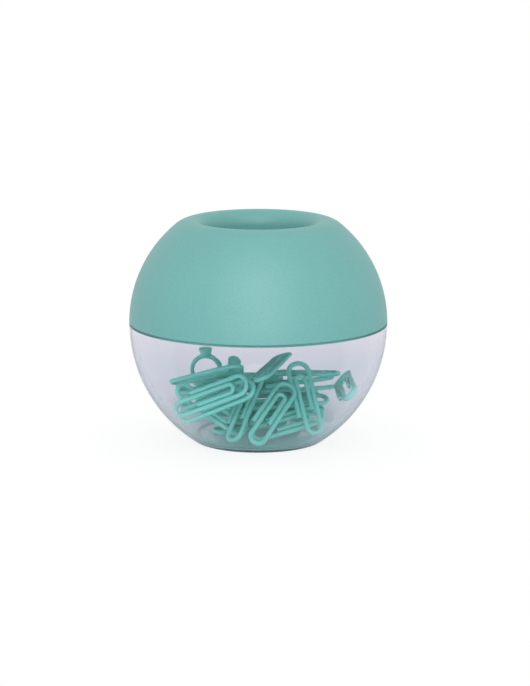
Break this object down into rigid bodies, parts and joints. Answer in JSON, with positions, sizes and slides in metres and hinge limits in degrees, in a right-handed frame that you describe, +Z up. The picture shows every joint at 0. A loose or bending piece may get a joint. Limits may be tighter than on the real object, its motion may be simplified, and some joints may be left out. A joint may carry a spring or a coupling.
{
  "type": "magnetic paper clip holder",
  "caption": "Round desk holder for paper clips: clear bowl, domed lid with a magnet hidden round its open mouth, and a heap of coated wire clips inside.",
  "frame": {"origin": "middle of the flat base, on the table", "axes": "+Z up along the axis of the bowl and lid; the side seen in the picture faces -Y; +X to the right"},
  "size_m": [0.085, 0.085, 0.074],
  "materials": {
    "clear_plastic": "clear, polished, with a faint lavender grey tint",
    "lid_plastic": "satin, evenly coloured blue green",
    "coated_wire": "steel wire in a smooth blue green coating",
    "ferrite": "dark grey sintered"
  },
  "bodies": {
    "bowl": {"bowl": "clear_plastic", "loop_clip_1": "coated_wire", "loop_clip_2": "coated_wire", "paper_clip_01": "coated_wire", "paper_clip_02": "coated_wire", "paper_clip_03": "coated_wire", "paper_clip_04": "coated_wire", "paper_clip_05": "coated_wire", "paper_clip_06": "coated_wire", "paper_clip_07": "coated_wire", "paper_clip_08": "coated_wire", "paper_clip_09": "coated_wire", "paper_clip_10": "coated_wire", "paper_clip_11": "coated_wire", "paper_clip_12": "coated_wire", "paper_clip_13": "coated_wire", "paper_clip_14": "coated_wire", "paper_clip_15": "coated_wire", "paper_clip_16": "coated_wire", "paper_clip_17": "coated_wire", "paper_clip_18": "coated_wire", "paper_clip_19": "coated_wire", "paper_clip_20": "coated_wire", "paper_clip_21": "coated_wire", "paper_clip_22": "coated_wire", "paper_clip_23": "coated_wire", "paper_clip_24": "coated_wire", "paper_clip_25": "coated_wire", "paper_clip_26": "coated_wire"},
    "lid": {"lid": "lid_plastic", "magnet_tray": "lid_plastic", "ring_magnet": "ferrite"},
    "top_clip": {"top_clip": "coated_wire"}
  },
  "joints": [
    {"name": "lid_lift", "type": "slide", "parent": "bowl", "child": "lid", "axis": [0, 0, 1], "range_m": [0, 0.06]},
    {"name": "top_clip_lift", "type": "slide", "parent": "bowl", "child": "top_clip", "axis": [0, 0, 1], "range_m": [0, 0.075]}
  ]
}
